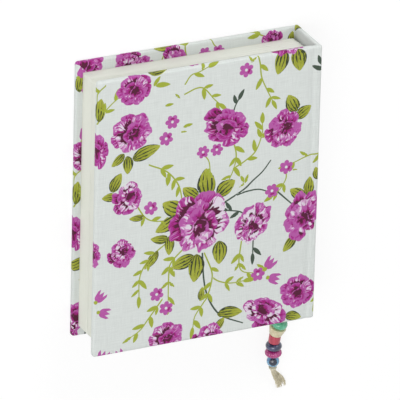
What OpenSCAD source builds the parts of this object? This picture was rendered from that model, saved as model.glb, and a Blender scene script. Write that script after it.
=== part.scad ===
// Cloth-covered planner notebook with a beaded bookmark.
// It lies on its rear cover: spine at +X, head at +Y, front cover on top at +Z.

/* [Case] */
// Width of the closed book, fore-edge to spine
cover_w = 114; // [90:1:160]
// Height of the covers, tail to head
cover_h = 140; // [110:1:220]
// Thickness of the closed book
book_t = 27; // [20:0.5:40]
// Thickness of the cover boards
board_t = 2.2; // [1.5:0.1:3]
// Thickness of the spine board
spine_board_t = 1.6; // [1:0.1:2.4]
// Thickness of the covering cloth
cloth_t = 0.4; // [0.3:0.05:0.6]
// Width of the cloth turned in over the boards
turn_in = 14; // [10:1:20]
// Depth of the cloth turned in at the ends of the spine
spine_turn_in = 12; // [8:1:20]
// Radius of the covers' fore-edge corners
corner_r = 1.5; // [0.8:0.1:4]
// Width of the cloth joint between a board and the spine's outer face
joint_w = 5.5; // [4.5:0.5:9]
// Distance that the spine board stays back from the covers' outer faces
spine_board_inset = 1.2; // [1:0.1:2]

/* [Page block] */
// Overhang of the covers at head and tail
head_square = 5.4; // [2:0.1:8]
// Overhang of the covers at the fore-edge
fore_square = 3.3; // [2:0.1:6]
// Hollow between the page block and the spine
spine_hollow = 1.3; // [1:0.1:3]
// Thickness of the endpapers
paper_t = 0.2; // [0.1:0.05:0.3]
// Air between two sections
leaf_gap = 0.1; // [0.05:0.05:0.2]
// Gap at the page that the bookmark marks
fold_gap = 0.6; // [0.5:0.1:1]
// Thickness of the sewing thread
thread_d = 0.5; // [0.3:0.1:0.6]
// Length of one stitch
stitch_l = 14; // [8:1:18]
// Distance from stitch to stitch
stitch_pitch = 30; // [24:1:34]

/* [Bookmark] */
// Diameter of the bookmark cord
cord_d = 1.5; // [1:0.1:1.7]
// Width of the cord where the leaves press it flat
strip_w = 2.4; // [1.6:0.1:3]
// Thickness of the cord where the leaves press it flat
strip_t = 0.4; // [0.2:0.05:0.45]
// Distance of the bookmark from the back of the page block
mark_inset = 4.3; // [3:0.1:40]
// Length between the head of the page block and the bookmark's glued end
strip_glued = 10; // [6:1:20]
// Length between the head of the page block and the bend towards the glued end
strip_bend = 22; // [18:1:40]
// Diameter of the bore through the beads
bead_bore = 2; // [1.9:0.1:2.4]
// Air between two beads
bead_gap = 0.25; // [0.2:0.05:0.4]
// Length of cord between the page block and the first bead
cord_lead = 14.2; // [13:0.1:20]
// Diameter of the green disc bead
green_d = 8; // [6:0.1:8.4]
// Length of the green disc bead
green_l = 3.9; // [3:0.1:5]
// Diameter of the cream wooden bead at its wide end
cream_d = 8.3; // [6:0.1:8.6]
// Diameter of the cream wooden bead at its narrow end
cream_end_d = 6.2; // [5:0.1:6.6]
// Length of the cream wooden bead
cream_l = 4.6; // [3:0.1:5]
// Diameter of the red cylinder bead
red_d = 5.7; // [5:0.1:6.5]
// Length of the red cylinder bead
red_l = 4.5; // [3:0.1:5]
// Diameter of the navy rondelle
navy_d = 7.9; // [6:0.1:8.2]
// Length of the navy rondelle
navy_l = 3.7; // [2.6:0.1:4.2]
// Diameter of the magenta rondelle
magenta_d = 8.2; // [6:0.1:8.3]
// Length of the magenta rondelle
magenta_l = 3.4; // [3:0.1:4.4]
// Diameter of the blue glass bead
blue_d = 6.1; // [5:0.1:6.4]
// Length of the blue glass bead
blue_l = 5.8; // [4:0.1:6]
// Diameter of the whipped neck at the beads
knot_d = 4.3; // [3:0.1:5]
// Diameter of the whipped neck at the frayed end
knot_end_d = 2.4; // [2:0.1:3]
// Length of the whipped neck
knot_l = 2.6; // [2:0.1:4]
// Greatest width of the frayed end
tassel_w = 5.6; // [3:0.1:6.4]
// Greatest thickness of the frayed end
tassel_t = 1.8; // [1.4:0.1:2.2]

/* [Hidden] */
SECTIONS = [for (i = [1 : 10]) str("section_", i)];
THREADS = [for (i = [1 : 10]) str("thread_", i)];
$fn = 64;

// Glue line between pieces that are stuck together
glue = 0.05;
// Room between the cloth edges that meet at a joint
joint_play = 0.1;
// Room between the page block and the free tail of the bookmark
exit_gap = 0.1;
// Distance that the pressed cord stays back from the tail of the page block
strip_back = 0.6;

// Covers and spine, across the book
fore_x = -cover_w / 2;
spine_x = cover_w / 2;
board_x = spine_x - joint_w;
spine_t = 2 * cloth_t + spine_board_t;
spine_in_x = spine_x - spine_t;
shell_t = 2 * cloth_t + board_t;
cover_t = shell_t + paper_t;

// Page block
sections_per_half = len(SECTIONS) / 2;
block_h = cover_h - 2 * head_square;
block_x0 = fore_x + fore_square;
block_x1 = spine_in_x - spine_hollow;
fold_z = book_t / 2;
fly_z = cover_t + leaf_gap;
stack_z0 = fly_z + paper_t + leaf_gap;
stack_z1 = fold_z - fold_gap / 2;
section_t = (stack_z1 - stack_z0 - (sections_per_half - 1) * leaf_gap) / sections_per_half;
stitches = 4;

// Place where the bookmark leaves the page block
mark_x = block_x1 - mark_inset;
exit_y = -block_h / 2 - exit_gap;

// Route of the bookmark's tail, measured from that place: out, down to the table and along it
tail_points = [
    [0, 0, 13.5], [0, -1.8, 13.4], [0, -4.3, 12.8], [0, -7.3, 11.7],
    [-0.1, -10.3, 10.4], [-0.4, -13.3, 9], [-0.9, -16.3, 7.8], [-1.4, -19.3, 6.8],
    [-1.7, -22.3, 6], [-1.8, -25.3, 5.4], [-1.8, -28.3, 5], [-1.7, -31.3, 4.7],
    [-1.6, -34.3, 4.4], [-1.5, -37.3, 4], [-1.2, -40.3, 3.5], [-0.8, -42.3, 3.1]];
// Frayed end, lying on the table
fray_points = [
    [-0.7, -42.6, 3], [0.4, -44.3, 2.3], [1.9, -46.5, 1.6], [3.4, -48.9, 1.2],
    [4.4, -51.1, 1.1], [5, -53.3, 1]];
route = [for (p = tail_points) p + [mark_x, exit_y, 0]];
tassel_route = [for (p = fray_points) p + [mark_x, exit_y, 0]];
cord_sides = 8;

// Stretch of the route that each piece on it takes up, as [start, end]
green_s = [cord_lead, cord_lead + green_l];
cream_s = [green_s[1] + bead_gap, green_s[1] + bead_gap + cream_l];
red_s = [cream_s[1] + bead_gap, cream_s[1] + bead_gap + red_l];
navy_s = [red_s[1] + bead_gap, red_s[1] + bead_gap + navy_l];
magenta_s = [navy_s[1] + bead_gap, navy_s[1] + bead_gap + magenta_l];
blue_s = [magenta_s[1] + bead_gap, magenta_s[1] + bead_gap + blue_l];
knot_s = [blue_s[1] + bead_gap, blue_s[1] + bead_gap + knot_l];

// Point of a path at a distance along it
function step_length(path, i) = norm(path[i + 1] - path[i]);
function run_to(path, i) = i == 0 ? 0 : run_to(path, i - 1) + step_length(path, i - 1);
function point_at(path, s, i = 0) =
    i >= len(path) - 2 || s <= step_length(path, i)
        ? path[i] + (path[i + 1] - path[i]) * s / step_length(path, i)
        : point_at(path, s - step_length(path, i), i + 1);

// Rings of a tube whose section is an ellipse, [width, height] at each point
function heading(path, i) =
    let (a = path[max(i - 1, 0)], b = path[min(i + 1, len(path) - 1)]) (b - a) / norm(b - a);
function sideways(t) = let (v = cross(t, [0, 0, 1])) v / norm(v);
function ring(path, sizes, i) =
    let (t = heading(path, i), side = sideways(t), up = cross(side, t))
    [for (k = [0 : cord_sides - 1])
        let (a = (k + 0.5) * 360 / cord_sides)
        path[i] + side * cos(a) * sizes[i][0] / 2 + up * sin(a) * sizes[i][1] / 2];

// Closed tube along a path, with triangles for faces
module tube(path, sizes) {
    rings = len(path);
    points = [for (i = [0 : rings - 1]) each ring(path, sizes, i)];
    walls = [for (i = [0 : rings - 2], k = [0 : cord_sides - 1])
        let (a = i * cord_sides + k, b = i * cord_sides + (k + 1) % cord_sides)
        each [[a, b, b + cord_sides], [a, b + cord_sides, a + cord_sides]]];
    last = (rings - 1) * cord_sides;
    first_cap = [for (k = [1 : cord_sides - 2]) [0, k + 1, k]];
    last_cap = [for (k = [1 : cord_sides - 2]) [last, last + k, last + k + 1]];
    polyhedron(points, concat(walls, first_cap, last_cap));
}

// Children drawn in the rear half, turned over into the front half
module front_half() {
    translate([0, 0, book_t]) mirror([0, 0, 1]) children();
}

// Outline drawn in X and Z, run along the height of the book
module along_height(h) {
    rotate([90, 0, 0]) linear_extrude(height = h, center = true) children();
}

// Plate outline with both corners at x0 rounded
module plate_outline(x0, x1, h, r) {
    translate([x0 + r, -h / 2]) square([x1 - x0 - r, h]);
    translate([x0, -h / 2 + r]) square([2 * r, h - 2 * r]);
    for (side = [-1, 1]) {
        translate([x0 + r, side * (h / 2 - r)]) circle(r);
    }
}

module board() {
    edge = cloth_t + glue;
    translate([0, 0, edge])
        linear_extrude(height = board_t - 2 * glue)
            plate_outline(fore_x + edge, board_x - glue, cover_h - 2 * edge, corner_r - cloth_t);
}

// Cloth round a board: outside, edges and turned-in margins, and the strip that bends at the spine
module cover_cloth() {
    difference() {
        linear_extrude(height = shell_t) plate_outline(fore_x, board_x, cover_h, corner_r);
        translate([0, 0, cloth_t])
            linear_extrude(height = board_t)
                plate_outline(fore_x + cloth_t, board_x + 1, cover_h - 2 * cloth_t, corner_r - cloth_t);
        translate([fore_x + turn_in, turn_in - cover_h / 2, cloth_t])
            cube([cover_w, cover_h - 2 * turn_in, shell_t]);
    }
    along_height(cover_h)
        polygon([[board_x, 0], [spine_x, 0], [spine_x - cloth_t, cloth_t], [board_x, cloth_t]]);
    for (side = [-1, 1]) {
        translate([board_x, side * (cover_h - turn_in) / 2 - turn_in / 2, 0])
            cube([spine_in_x - joint_play - board_x, turn_in, 2 * cloth_t]);
    }
}

// Endpaper half on the board, thicker where the turned-in cloth leaves a step
module pastedown() {
    translate([block_x0, -block_h / 2, shell_t])
        cube([board_x - block_x0, block_h, paper_t]);
    translate([fore_x + turn_in + glue, turn_in + glue - cover_h / 2, cloth_t + board_t])
        cube([board_x - fore_x - turn_in - glue, cover_h - 2 * turn_in - 2 * glue, cloth_t + paper_t]);
}

module flyleaf() {
    translate([block_x0, -block_h / 2, fly_z]) cube([block_x1 - block_x0, block_h, paper_t]);
}

module rear_board() {
    color("#8d8a80") board();
}

module rear_cloth() {
    color("#dee4e2") cover_cloth();
}

module rear_pastedown() {
    color("#ece9de") pastedown();
}

module rear_flyleaf() {
    color("#ece9de") flyleaf();
}

module front_board() {
    color("#8d8a80") front_half() board();
}

module front_cloth() {
    color("#dee4e2") front_half() cover_cloth();
}

module front_pastedown() {
    color("#ece9de") front_half() pastedown();
}

module front_flyleaf() {
    color("#ece9de") front_half() flyleaf();
}

module spine_board() {
    edge = cloth_t + glue;
    color("#8d8a80")
        translate([spine_in_x + edge, edge - cover_h / 2, spine_board_inset + glue])
            cube([spine_board_t - 2 * glue, cover_h - 2 * edge, book_t - 2 * spine_board_inset - 2 * glue]);
}

// Cloth over the spine, with mitred long edges and turned-in ends
module spine_cloth() {
    wall_h = book_t - 2 * spine_board_inset;
    color("#dee4e2") {
        along_height(cover_h)
            polygon([
                [spine_x, joint_play], [spine_x, book_t - joint_play],
                [spine_x - cloth_t, book_t - joint_play - cloth_t], [spine_x - cloth_t, joint_play + cloth_t]]);
        for (side = [-1, 1]) {
            translate([spine_in_x, side * (cover_h - cloth_t) / 2 - cloth_t / 2, spine_board_inset])
                cube([spine_t - cloth_t, cloth_t, wall_h]);
            translate([spine_in_x, side * (cover_h - spine_turn_in) / 2 - spine_turn_in / 2, spine_board_inset])
                cube([cloth_t, spine_turn_in, wall_h]);
        }
    }
}

module spine_liner() {
    h = cover_h - 2 * spine_turn_in - 2 * glue;
    color("#d8d2c2")
        translate([spine_in_x, -h / 2, spine_board_inset])
            cube([cloth_t, h, book_t - 2 * spine_board_inset]);
}

// Height of the rear face of a rear section, counted from the rear cover
function section_z(place) = stack_z0 + (place - 1) * (section_t + leaf_gap);

// Folded leaves, round at the back fold
module leaves(place) {
    along_height(block_h) {
        translate([block_x0, section_z(place)]) square([block_x1 - block_x0 - section_t / 2, section_t]);
        translate([block_x1 - section_t / 2, section_z(place) + section_t / 2]) circle(d = section_t);
    }
}

// Stitches that lie on the back fold of one section
module stitch_row(place) {
    for (i = [0 : stitches - 1]) {
        y = (i - (stitches - 1) / 2) * stitch_pitch;
        translate([block_x1 + glue + thread_d / 2, y + stitch_l / 2, section_z(place) + section_t / 2])
            rotate([90, 0, 0]) cylinder(d = thread_d, h = stitch_l);
    }
}

// Section or stitches number i, counted from the rear cover
module section(i) {
    color("#e5e2d6") {
        if (i <= sections_per_half) leaves(i);
        else front_half() leaves(len(SECTIONS) + 1 - i);
    }
}

module thread(i) {
    color("#f2efe6") {
        if (i <= sections_per_half) stitch_row(i);
        else front_half() stitch_row(len(SECTIONS) + 1 - i);
    }
}

// Cord pressed flat at the marked page, glued at the back fold near the head
module bookmark_strip() {
    x = mark_x;
    tail_y = strip_back - block_h / 2;
    bend_y = block_h / 2 - strip_bend;
    glue_y = block_h / 2 - strip_glued;
    end_x = block_x1 - section_t;
    color("#beb496")
        translate([0, 0, fold_z - strip_t / 2])
            linear_extrude(height = strip_t)
                polygon([
                    [x - strip_w / 2, tail_y], [x + strip_w / 2, tail_y], [x + strip_w / 2, bend_y],
                    [end_x, glue_y - strip_w], [end_x, glue_y], [x - strip_w / 2, bend_y]]);
}

// Free cord, flat where it leaves the leaves, round and straight through the beads
module bookmark_tail() {
    end_s = knot_s[0] - bead_gap;
    kept = [for (i = [0 : len(route) - 1]) if (run_to(route, i) < end_s - cord_d / 2) route[i]];
    path = concat(kept, [point_at(route, end_s)]);
    flat = [strip_w, strip_t];
    easing = (flat + [cord_d, cord_d]) / 2;
    sizes = [for (i = [0 : len(path) - 1]) i == 0 ? flat : i == 1 ? easing : [cord_d, cord_d]];
    color("#beb496") tube(path, sizes);
}

// Children drawn along +Z, set on the route between two distances
module on_route(span) {
    a = point_at(route, span[0]);
    v = point_at(route, span[1]) - a;
    translate(a) rotate([0, acos(v[2] / norm(v)), atan2(v[1], v[0])]) children();
}

// Bead with a fully round rim
module rondelle(d, l) {
    rotate_extrude()
        intersection() {
            union() {
                square([d / 2 - l / 2, l]);
                translate([d / 2 - l / 2, l / 2]) circle(d = l);
            }
            translate([bead_bore / 2, 0]) square([d / 2, l]);
        }
}

// Straight-sided or tapering bead with small bevels
module turned_bead(d0, d1, l) {
    bevel = 0.3;
    rotate_extrude()
        polygon([
            [bead_bore / 2, 0], [d0 / 2 - bevel, 0], [d0 / 2, bevel],
            [d1 / 2, l - bevel], [d1 / 2 - bevel, l], [bead_bore / 2, l]]);
}

// Round bead with flat ends
module round_bead(d, l) {
    rotate_extrude()
        intersection() {
            translate([0, l / 2]) circle(d = d);
            translate([bead_bore / 2, 0]) square([d, l]);
        }
}

module bead_green() {
    color("#55b987") on_route(green_s) rondelle(green_d, green_l);
}

module bead_cream() {
    color("#d6caa0") on_route(cream_s) turned_bead(cream_d, cream_end_d, cream_l);
}

module bead_red() {
    color("#c8505f") on_route(red_s) turned_bead(red_d, red_d, red_l);
}

module bead_navy() {
    color("#3e4268") on_route(navy_s) rondelle(navy_d, navy_l);
}

module bead_magenta() {
    color("#be3787") on_route(magenta_s) rondelle(magenta_d, magenta_l);
}

module bead_blue() {
    color("#5596c3") on_route(blue_s) round_bead(blue_d, blue_l);
}

module cord_knot() {
    shoulder = 0.4;
    color("#beb496")
        on_route(knot_s)
            rotate_extrude()
                polygon([
                    [0, 0], [knot_d / 2 - shoulder, 0], [knot_d / 2, shoulder],
                    [knot_end_d / 2, knot_l - glue], [0, knot_l - glue]]);
}

// Frayed end: narrow at the neck, widest two thirds along, ragged at the tip
module cord_tassel() {
    ends = len(tassel_route) - 1;
    neck = [knot_end_d, tassel_t] * 0.8;
    sizes = [for (i = [0 : ends])
        let (f = i / ends, swell = sin(150 * f))
        [neck[0] + (tassel_w - neck[0]) * swell, neck[1] + (tassel_t - neck[1]) * swell]];
    color("#beb496") tube(tassel_route, sizes);
}

rear_board();
rear_cloth();
rear_pastedown();
rear_flyleaf();
front_board();
front_cloth();
front_pastedown();
front_flyleaf();
spine_board();
spine_cloth();
spine_liner();
for (i = [1 : len(SECTIONS)]) {
    section(i);
    thread(i);
}
bookmark_strip();
bookmark_tail();
bead_green();
bead_cream();
bead_red();
bead_navy();
bead_magenta();
bead_blue();
cord_knot();
cord_tassel();
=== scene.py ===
import bmesh
import bpy
import math
import numpy as np
from mathutils import Matrix, Vector
from mathutils.kdtree import KDTree


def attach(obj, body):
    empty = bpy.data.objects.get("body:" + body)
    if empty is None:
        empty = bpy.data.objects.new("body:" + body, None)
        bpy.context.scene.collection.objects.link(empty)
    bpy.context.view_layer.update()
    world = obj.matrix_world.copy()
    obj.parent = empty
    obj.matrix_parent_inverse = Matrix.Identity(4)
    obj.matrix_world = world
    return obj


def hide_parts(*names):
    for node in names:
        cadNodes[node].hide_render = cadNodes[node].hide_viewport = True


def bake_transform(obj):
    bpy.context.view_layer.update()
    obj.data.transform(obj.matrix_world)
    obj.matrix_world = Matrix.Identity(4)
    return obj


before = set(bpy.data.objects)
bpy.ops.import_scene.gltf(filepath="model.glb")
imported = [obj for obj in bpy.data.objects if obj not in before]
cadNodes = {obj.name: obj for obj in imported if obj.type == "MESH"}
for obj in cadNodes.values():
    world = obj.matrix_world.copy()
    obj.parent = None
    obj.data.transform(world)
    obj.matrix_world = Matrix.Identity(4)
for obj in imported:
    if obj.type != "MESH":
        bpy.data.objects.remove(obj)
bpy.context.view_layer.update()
mm = 0.001
print("frame loaded:", len(cadNodes), "nodes")


# node trees: sockets are wrapped as fields, so that a pattern reads as plain arithmetic

class Field:
    def __init__(self, tree, socket):
        self.tree, self.socket = tree, socket

    def rise(self, low, high):
        # from 0 at low to 1 at high, smoothly
        return shader(self.tree, "MapRange", {0: self, 1: low, 2: high}, interpolation_type="SMOOTHSTEP")

    def rest(self):
        # what is left of 1
        return self * -1.0 + 1.0

    def share(self):
        # held between 0 and 1
        return self.most(0.0).least(1.0)


def mathStep(operation):
    return lambda *fields: shader(fields[0].tree, "Math", dict(enumerate(fields)), operation=operation)


for stepName, stepKind in dict(
        __add__="ADD", __sub__="SUBTRACT", __mul__="MULTIPLY", __truediv__="DIVIDE", __pow__="POWER",
        __mod__="FLOORED_MODULO", __lt__="LESS_THAN", __gt__="GREATER_THAN", __abs__="ABSOLUTE",
        sin="SINE", cos="COSINE", sqrt="SQRT", round="ROUND", floor="FLOOR",
        most="MAXIMUM", least="MINIMUM", angle="ARCTAN2").items():
    setattr(Field, stepName, mathStep(stepKind))


def plug(tree, sockets, values):
    for key, value in values.items():
        if isinstance(value, Field):
            tree.links.new(value.socket, sockets[key])
        else:
            sockets[key].default_value = value


def addNode(tree, kind, inputs=None, **settings):
    node = tree.nodes.new(kind)
    for name, value in settings.items():
        setattr(node, name, value)
    plug(tree, node.inputs, inputs or {})
    return node


def shader(tree, kind, inputs=None, out=0, **settings):
    return Field(tree, addNode(tree, "ShaderNode" + kind, inputs, **settings).outputs[out])


def geo(tree, kind, inputs=None, out=0, **settings):
    return Field(tree, addNode(tree, "GeometryNode" + kind, inputs, **settings).outputs[out])


def parts(vector):
    return [Field(vector.tree, s) for s in addNode(vector.tree, "ShaderNodeSeparateXYZ", {0: vector}).outputs]


def vectorOf(x, y, z=0.0):
    return shader(x.tree, "CombineXYZ", {0: x, 1: y, 2: z})


def noise(vector, scale=1.0, detail=2.0, rough=0.5, out=0):
    inputs = {"Vector": vector, "Scale": scale, "Detail": detail, "Roughness": rough}
    return shader(vector.tree, "TexNoise", inputs, out)


def grainOf(point, stretch, detail=1.0, rough=0.5):
    # noise with a scale of its own along each axis
    return noise(shader(point.tree, "VectorMath", {0: point, 1: stretch}, operation="MULTIPLY"), 1.0, detail, rough)


def mixColor(share, a, b):
    return shader(share.tree, "Mix", {0: share, 6: a, 7: b}, 2, data_type="RGBA")


def mixValue(share, a, b):
    return a * share.rest() + b * share


def shaded(color, tone, amount):
    # lightens and darkens a colour by a tone about zero
    return shader(tone.tree, "HueSaturation", {"Color": color, "Value": tone * amount + 1.0})


def bumpOf(height, strength, distance):
    return shader(height.tree, "Bump", {"Height": height, "Strength": strength, "Distance": distance})


def objectPoint(tree):
    return shader(tree, "TexCoord", out="Object")


def ease(t):
    return t * t * (t * -2.0 + 3.0)


def rgb(*levels):
    return tuple(c / 255 / 12.92 if c <= 10 else ((c / 255 + 0.055) / 1.055) ** 2.4 for c in levels) + (1.0,)


def makeGroup(name, kind, inputs, outputs):
    tree = bpy.data.node_groups.new(name, kind)
    for side, sockets in (("INPUT", inputs), ("OUTPUT", outputs)):
        for socketName, socketKind in sockets.items():
            tree.interface.new_socket(socketName, in_out=side, socket_type="NodeSocket" + socketKind)
    given = {s.name: Field(tree, s) for s in tree.nodes.new("NodeGroupInput").outputs}
    return tree, given, tree.nodes.new("NodeGroupOutput").inputs


def closeGroup(tree, out, **values):
    plug(tree, out, values)
    return tree


def useGroup(tree, group, inputs):
    return {s.name: Field(tree, s) for s in addNode(tree, "ShaderNodeGroup", inputs, node_tree=group).outputs}


def newMaterial(name):
    material = bpy.data.materials.new(name)
    material.use_nodes = True
    return material, material.node_tree


def coat(material, values):
    tree = material.node_tree
    plug(tree, tree.nodes["Principled BSDF"].inputs, values)
    return material


def addObject(name, data):
    thing = bpy.data.objects.new(name, data)
    bpy.context.scene.collection.objects.link(thing)
    return thing


def shade(mesh, smooth=True):
    mesh.polygons.foreach_set("use_smooth", np.full(len(mesh.polygons), smooth))


def addPiece(name, mesh, material):
    mesh.materials.clear()
    mesh.materials.append(material)
    return addObject(name, mesh)


def standFor(piece, node, body=None):
    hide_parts(node)
    if body:
        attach(piece, body)
    return piece


# camera, floor and light

shot = dict(
    lens=640, sensor=36, clip=(0.05, 50), place=(-1.28832, 1.39665, 2.71866),
    right=(0.90696, 0.0236, 0.42055), down=(-0.15888, -0.90552, 0.39345), ahead=(0.39009, -0.42366, -0.81752),
    worldLight=0.48, floorSize=6.0, floorDrop=0.0002, floorGrey=0.86, floorGlow=1.08, glowShare=0.75,
    # place, size, power
    lamps=[((-0.75, 0.10, 1.2), 0.9, 8.4), ((0.4, 1.25, 0.6), 0.8, 7.4), ((-1.2, 0.1, 0.45), 0.7, 1.2)])


def seenDirectly(tree):
    # 1 for the camera, and for what shows in gloss and glass
    path = addNode(tree, "ShaderNodeLightPath").outputs
    camera, glossy, clear = (Field(tree, path["Is %s Ray" % kind]) for kind in ("Camera", "Glossy", "Transmission"))
    return camera.most(glossy).most(clear)


def setStage(shot):
    scene = bpy.context.scene
    cameraData = bpy.data.cameras.new("camera")
    cameraData.lens, cameraData.sensor_width = shot["lens"], shot["sensor"]
    cameraData.clip_start, cameraData.clip_end = shot["clip"]
    camera = addObject("camera", cameraData)
    columns = [Vector(shot["right"]), -Vector(shot["down"]), -Vector(shot["ahead"]), Vector(shot["place"])]
    camera.matrix_world = Matrix([[c[row] for c in columns] for row in range(3)] + [[0, 0, 0, 1]])
    scene.camera = camera
    scene.view_settings.view_transform = "Standard"

    world = bpy.data.worlds.new("studio")
    world.use_nodes = True
    scene.world = world
    tree, dim = world.node_tree, shot["worldLight"]
    plug(tree, tree.nodes["Background"].inputs, {
        "Color": (1, 1, 1, 1), "Strength": seenDirectly(tree) * (1.0 - dim) + dim})

    half, low = shot["floorSize"] / 2, -shot["floorDrop"]
    floorMesh = bpy.data.meshes.new("floor")
    floorMesh.from_pydata([(x, y, low) for x, y in ((-half, -half), (half, -half), (half, half), (-half, half))],
                          [], [(0, 1, 2, 3)])
    material, tree = newMaterial("paleFloor")
    tree.nodes.remove(tree.nodes["Principled BSDF"])
    matte = shader(tree, "BsdfDiffuse", {"Color": (*[shot["floorGrey"]] * 3, 1)})
    glow = shader(tree, "Emission", {"Color": (1, 1, 1, 1), "Strength": shot["floorGlow"]})
    mix = shader(tree, "MixShader", {0: seenDirectly(tree) * shot["glowShare"], 1: matte, 2: glow})
    plug(tree, tree.nodes["Material Output"].inputs, {0: mix})
    addPiece("floor", floorMesh, material)

    for i, (place, size, power) in enumerate(shot["lamps"]):
        lampData = bpy.data.lights.new("lamp%d" % i, "AREA")
        lampData.size, lampData.energy = size, power
        lamp = addObject("lamp%d" % i, lampData)
        lamp.location = place
        lamp.rotation_euler = (-Vector(place)).to_track_quat("-Z", "Y").to_euler()


setStage(shot)
print("stage set")


# printed cotton: one group for each motif of the print, and one for the weave

inks = dict(
    ground=rgb(217, 222, 219), orchid=rgb(182, 92, 166), mulberry=rgb(168, 50, 142), magenta=rgb(154, 30, 114),
    maroon=rgb(84, 26, 54), pale=rgb(224, 214, 226), blush=rgb(206, 146, 196), olive=rgb(150, 156, 48),
    moss=rgb(168, 174, 68), darkGreen=rgb(54, 62, 44), lime=rgb(160, 172, 62), stem=rgb(68, 82, 70))
rosePetals = [
    dict(petals=7, reach=0.98, width=0.36, turn=1.31, x=0.0, y=0.0, pale=-0.10),
    dict(petals=5, reach=0.80, width=0.34, turn=2.17, x=0.07, y=-0.09, pale=0.20),
    dict(petals=4, reach=0.57, width=0.27, turn=0.73, x=0.11, y=-0.17, pale=0.05),
    dict(petals=3, reach=0.35, width=0.24, turn=1.77, x=0.10, y=-0.22, pale=-0.20)]
# U carries a motif's number or a stem's kind, and a face too far from its motif takes a bare spot of the cell
cellStep, kindStep, farSquared, bareSpot = 4.0, 1000.0, 3.2, (1.9, 1.9)


def motifGroup(name):
    return makeGroup(name, "ShaderNodeTree", {"Vector": "Vector"}, {"Color": "Color", "Mask": "Float"})


def splitCell(vector):
    u, v, _ = parts(vector)
    number = (u / cellStep).round()
    return u - number * cellStep, v, number


def petalRing(px, py, number, ring):
    # how far inside a ring of petals a point lies, how deep under the next ring, and how light it is
    size, turn = ring["reach"], ring["turn"]
    qx, qy = px - ring["x"], py - ring["y"]
    reach = (qx * qx + qy * qy + 0.0001).sqrt()
    spin = qy.angle(qx) * (ring["petals"] / (2 * math.pi)) + number * turn
    petal = spin.floor()
    across = (spin - petal) * 2.0 - 1.0
    petal = petal % float(ring["petals"])
    dice = {"Vector": vectorOf(petal, number, turn)}
    chance, bloom, _ = parts(shader(px.tree, "TexWhiteNoise", dice, "Color", noise_dimensions="3D"))
    inside = ((across * across).rest().most(0.0).sqrt() * 0.17 + 0.83) * (chance * 0.22 + 0.87) * size - reach
    depth = inside / ring["width"]
    lane = across * (size * 1.8 + 0.5) + petal * 6.3        # smaller rings have fewer, softer strokes
    streak = noise(vectorOf(lane, depth * 0.5, number * 3.7 + turn), 1.9, 2.0, 0.6) - 0.5
    gleam = noise(vectorOf(lane * 0.9, depth * 0.35, number * 2.9 + 20.0), 1.5, 2.0, 0.55) - 0.5
    fine = noise(vectorOf(lane * 1.7, depth * 0.45, number * 1.3 + turn * 2.0), 2.4, 1.0) - 0.5
    deep = depth * 0.66 + abs(across) ** 3.0 * 0.20 + streak * (size * 1.3 + 0.4) + (chance - 0.5) * 0.35
    light = abs(depth - 0.45) * -0.4 + gleam * 2.0 + fine * (size * 1.4 + 0.1) + streak * -1.2 + (bloom - 0.5) * 0.7
    paler = ((number * 0.2) % 1.0) * 0.5 - 0.25 + ring["pale"]      # some roses are paler than others
    return inside, deep, light + paler


def roseGroup():
    tree, given, out = motifGroup("roseMotif")
    x, y, number = splitCell(given["Vector"])
    warp = parts(noise(vectorOf(x, y, number * 5.7), 2.4, 1.0, out=1))
    px, py = x + (warp[0] - 0.5) * 0.34, y + (warp[1] - 0.5) * 0.34
    brush = noise(vectorOf(x, y, number * 1.9), 7.0) - 0.5
    color, mask = inks["orchid"], None
    for ring in rosePetals:
        inside, deep, light = petalRing(px, py, number, ring)
        tint = inks["orchid"]
        for amount, low, high, ink in (
                (deep, 0.16, 0.36, "mulberry"), (deep, 0.40, 0.52, "magenta"), (light, 0.10, 0.24, "blush"),
                (light, 0.32, 0.44, "pale"), (deep, 0.60, 0.68, "maroon")):
            tint = mixColor(amount.rise(low, high), tint, inks[ink])
        ragged = inside + brush * 0.10
        color = mixColor(ragged.rise(-0.01, 0.01), color, tint)
        mask = mask or ragged.rise(-0.015, 0.015)
    # the heart is a dark arch over the innermost petal
    hx, hy = px - 0.09, py + 0.16
    low = hy + 0.14
    arch = ((hx * hx + hy * hy).sqrt() * -1.0 + 0.24).least((hx * hx + low * low).sqrt() - 0.15)
    color = mixColor((arch + brush * 0.5).rise(-0.02, 0.03), color, inks["maroon"])
    return closeGroup(tree, out, Color=color, Mask=mask)


def leafGroup():
    # numbers 0 to 6 are rose leaves with dark strokes, 7 and 8 lime leaves, 9 dark sprig leaves
    tree, given, out = motifGroup("leafMotif")
    x, y, number = splitCell(given["Vector"])
    rough = noise(vectorOf(x * 0.7, y * 1.8, number * 4.3), 3.2)
    uneven = rough - 0.5
    bent = y + x * x * 0.12
    room = (x * x).rest().most(0.0)
    half = (room ** 0.72) * (x * -0.24 + 1.0) * 0.97
    edge = half - abs(bent) + uneven * 0.12
    lane = bent / (half + 0.03)
    gap = abs(((lane * (x * -0.5 + 2.1) + number * 0.21 + uneven * 0.8 + 0.5) % 1.0) - 0.5)
    strokes = (x * -0.18 + 0.13 + uneven * 0.7 - gap).rise(-0.06, 0.06)
    border = (abs(lane + 0.12) - 0.86 + uneven * 0.9).rise(0.0, 0.1)
    color = mixColor((rough + x * 0.2).rise(0.35, 0.65), inks["olive"], inks["moss"])
    for share, ink in ((strokes.most(border), "darkGreen"), (number > 6.5, "lime"), (number > 8.5, "stem")):
        color = mixColor(share, color, inks[ink])
    return closeGroup(tree, out, Color=color, Mask=edge.rise(-0.03, 0.03) * (room > 0.001))


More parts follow.
